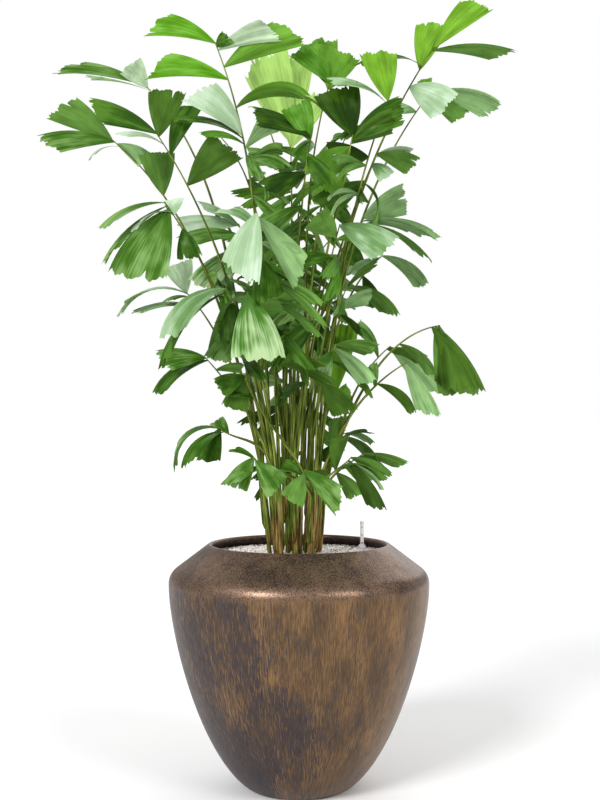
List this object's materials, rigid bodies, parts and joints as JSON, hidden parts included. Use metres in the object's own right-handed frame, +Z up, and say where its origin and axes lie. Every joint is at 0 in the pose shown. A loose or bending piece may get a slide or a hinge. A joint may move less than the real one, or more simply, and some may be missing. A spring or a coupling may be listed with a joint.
{
  "type": "potted fishtail palm",
  "caption": "Clustering fishtail palm with thin canes and arching fronds of wedge-shaped leaflets, in a round bronze-coloured planter with a gravel top.",
  "frame": {"origin": "middle of the planter's flat underside", "axes": "+Z up along the planter's axis; +Y points away from the viewer of the picture, +X to the viewer's right"},
  "size_m": [1.0811, 0.8563, 1.7922],
  "materials": {
    "pot": "satin bronze with a streaked blue-grey patina",
    "fill": "loose pale gravel",
    "gauge": "glossy pale plastic",
    "cane": "fibrous brown and olive sheaths",
    "frond": "glossy green leaf"
  },
  "bodies": {
    "root": {"pot": "pot", "gravel_fill": "fill", "water_gauge": "gauge", "cane_1": "cane", "cane_2": "cane", "cane_3": "cane", "cane_4": "cane", "cane_5": "cane", "cane_6": "cane", "cane_7": "cane", "cane_8": "cane", "cane_9": "cane", "cane_10": "cane", "cane_11": "cane", "cane_12": "cane", "frond_1": "frond", "frond_2": "frond", "frond_3": "frond", "frond_4": "frond", "frond_5": "frond", "frond_6": "frond", "frond_7": "frond", "frond_8": "frond", "frond_9": "frond", "frond_10": "frond", "frond_11": "frond", "frond_12": "frond", "frond_13": "frond", "frond_14": "frond", "frond_15": "frond", "frond_16": "frond", "frond_17": "frond", "frond_18": "frond", "frond_19": "frond", "frond_20": "frond", "frond_21": "frond", "frond_22": "frond", "frond_23": "frond", "frond_24": "frond", "frond_25": "frond", "frond_26": "frond", "frond_27": "frond", "frond_28": "frond", "frond_29": "frond", "frond_30": "frond", "frond_31": "frond", "frond_32": "frond", "frond_33": "frond", "frond_34": "frond", "frond_35": "frond", "frond_36": "frond", "frond_37": "frond", "frond_38": "frond", "frond_39": "frond", "frond_40": "frond", "frond_41": "frond", "frond_42": "frond", "frond_43": "frond", "frond_44": "frond", "frond_45": "frond"}
  },
  "joints": []
}
